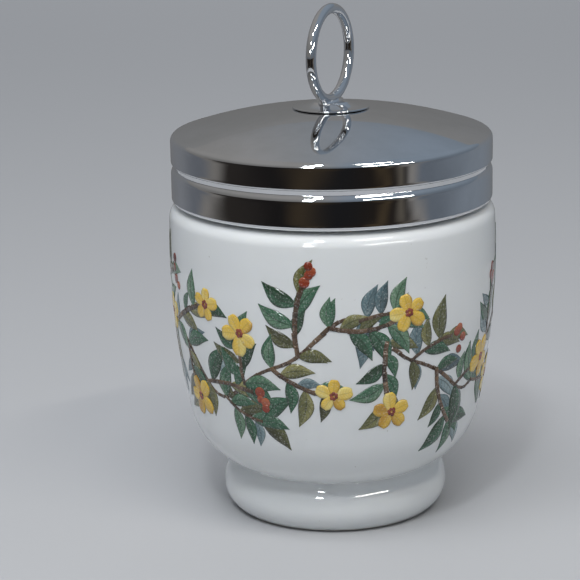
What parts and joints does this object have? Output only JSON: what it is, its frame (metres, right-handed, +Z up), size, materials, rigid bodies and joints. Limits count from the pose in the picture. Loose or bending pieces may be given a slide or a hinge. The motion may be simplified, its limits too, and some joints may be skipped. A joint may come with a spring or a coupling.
{
  "type": "egg coddler",
  "caption": "Footed porcelain cup with a chromed screw lid and an upright lifting ring, for cooking eggs in hot water; the lid unscrews on its thread.",
  "frame": {"origin": "middle of the foot's base, on the surface that the cup stands on", "axes": "+Z up along the axis of the cup and its thread; the picture looks along +Y"},
  "size_m": [0.07, 0.07, 0.1094],
  "materials": {
    "porcelain": "gloss glaze over white porcelain with a printed leaf and blossom spray",
    "chromed_lid": "polished chrome",
    "chromed_wire": "polished chrome",
    "steel_liner": "satin pressed sheet"
  },
  "bodies": {
    "cup": {"cup": "porcelain"},
    "lifting_ring": {"lift_ring": "chromed_wire", "ring_foot": "chromed_wire", "rivet_washer": "steel_liner"},
    "lid": {"lid_shell": "chromed_lid", "lid_liner": "steel_liner"}
  },
  "joints": [
    {"name": "lid_rise", "type": "slide", "parent": "cup", "child": "lifting_ring", "axis": [0, 0, 1], "range_m": [0, 0.0158]},
    {"name": "lid_turn", "type": "hinge", "parent": "lifting_ring", "child": "lid", "pos_m": [0, 0, 0.0874], "axis": [0, 0, 1], "range_deg": [0, 1260]}
  ],
  "couplings": [
    {"joint": "lid_rise", "follows": "lid_turn", "m_per_rad": 0.0007162}
  ]
}
